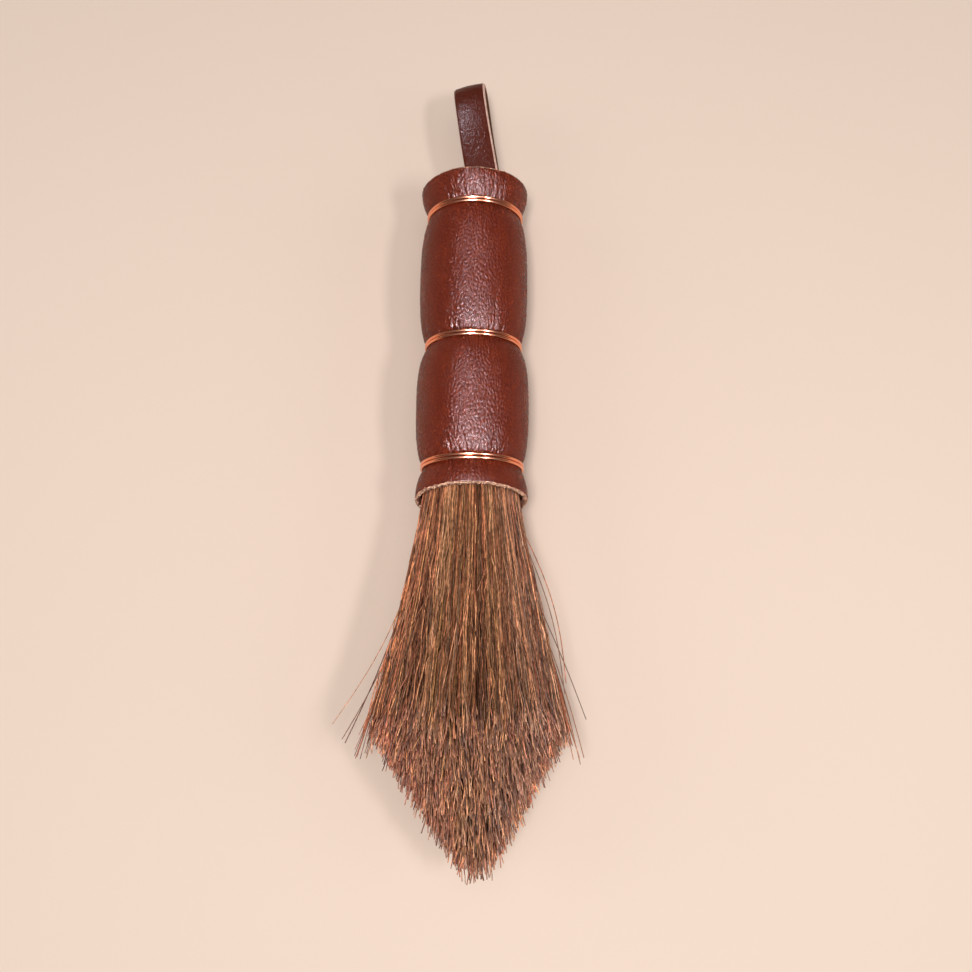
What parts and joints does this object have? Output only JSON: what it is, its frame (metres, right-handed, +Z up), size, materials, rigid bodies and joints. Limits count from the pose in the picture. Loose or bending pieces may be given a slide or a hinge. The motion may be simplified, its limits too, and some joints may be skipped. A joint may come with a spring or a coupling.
{
  "type": "hand brush",
  "caption": "Round hand brush of stiff plant fibre trimmed to a point, with a leather-wrapped handle bound in copper wire and a leather hanging loop.",
  "frame": {"origin": "on the plane the brush lies on, under the middle of its length and width", "axes": "+Y along the brush from the bristle tip to the hanging loop, +Z up off the plane it lies on, +X across its width"},
  "size_m": [0.0476, 0.2113, 0.0369],
  "materials": {
    "wrap_leather": "satin",
    "disc_leather": "matte",
    "strap_leather": "satin",
    "copper_wire": "polished",
    "tie_wire": "satin",
    "bound_fibre": "matte",
    "loose_fibre": "matte"
  },
  "bodies": {
    "handle": {"leather_wrap": "wrap_leather", "end_disc": "disc_leather", "strap_tails": "strap_leather", "copper_binding_mouth": "copper_wire", "copper_binding_middle": "copper_wire", "copper_binding_top": "copper_wire", "inner_tie_lower": "tie_wire", "inner_tie_upper": "tie_wire", "hank_butt_centre": "bound_fibre", "hank_butt_1": "bound_fibre", "hank_butt_2": "bound_fibre", "hank_butt_3": "bound_fibre", "hank_butt_4": "bound_fibre", "hank_butt_5": "bound_fibre", "hank_butt_6": "bound_fibre"},
    "bristle_head": {"hank_head_centre": "loose_fibre", "hank_head_1": "loose_fibre", "hank_head_2": "loose_fibre", "hank_head_3": "loose_fibre", "hank_head_4": "loose_fibre", "hank_head_5": "loose_fibre", "hank_head_6": "loose_fibre"},
    "hanging_loop": {"strap_loop": "strap_leather"}
  },
  "joints": [
    {"name": "head_flex", "type": "hinge", "parent": "handle", "child": "bristle_head", "pos_m": [0, -0.01578, 0.01648], "axis": [1, 0, 0], "range_deg": [-20, 20], "stiffness_Nm_per_rad": 1.5},
    {"name": "loop_bend", "type": "hinge", "parent": "handle", "child": "hanging_loop", "pos_m": [0.003, 0.07219, 0.01414], "axis": [0.9679, 0.1467, 0.2041], "range_deg": [-60, 60], "stiffness_Nm_per_rad": 0.005}
  ]
}
